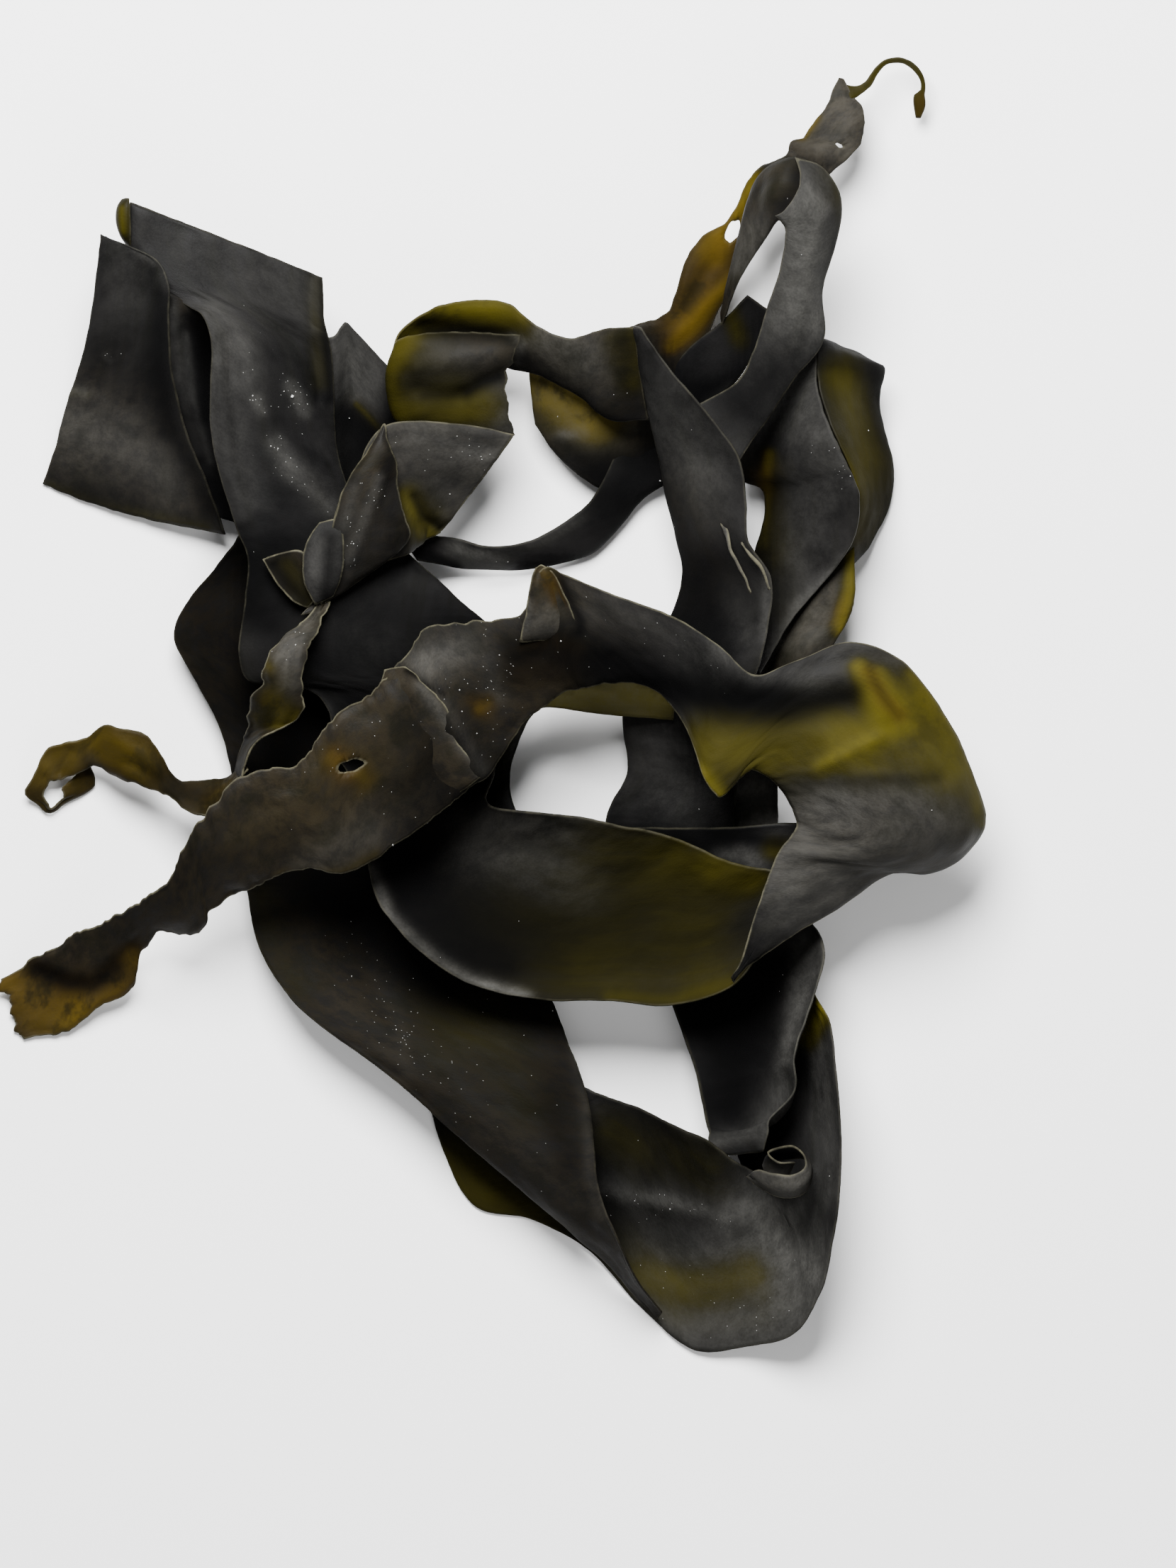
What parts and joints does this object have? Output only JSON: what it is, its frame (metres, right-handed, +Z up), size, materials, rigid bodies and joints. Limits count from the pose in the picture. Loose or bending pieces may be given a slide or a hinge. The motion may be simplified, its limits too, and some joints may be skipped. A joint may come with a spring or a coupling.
{
  "type": "dried kelp frond",
  "caption": "Dried kelp frond: a broad cut blade split into long leathery straps that fold, curl and cross over one another, lying flat.",
  "frame": {"origin": "middle of the frond seen from above, at the height of its lowest point", "axes": "+X to the right, +Y away from the front along the frond's longest way, +Z up"},
  "size_m": [0.2778, 0.3646, 0.0541],
  "materials": {
    "blade": "matt dried kelp, dark grey to olive and amber, with a whitish salt bloom"
  },
  "bodies": {
    "root": {"kelp_frond": "blade"}
  },
  "joints": []
}
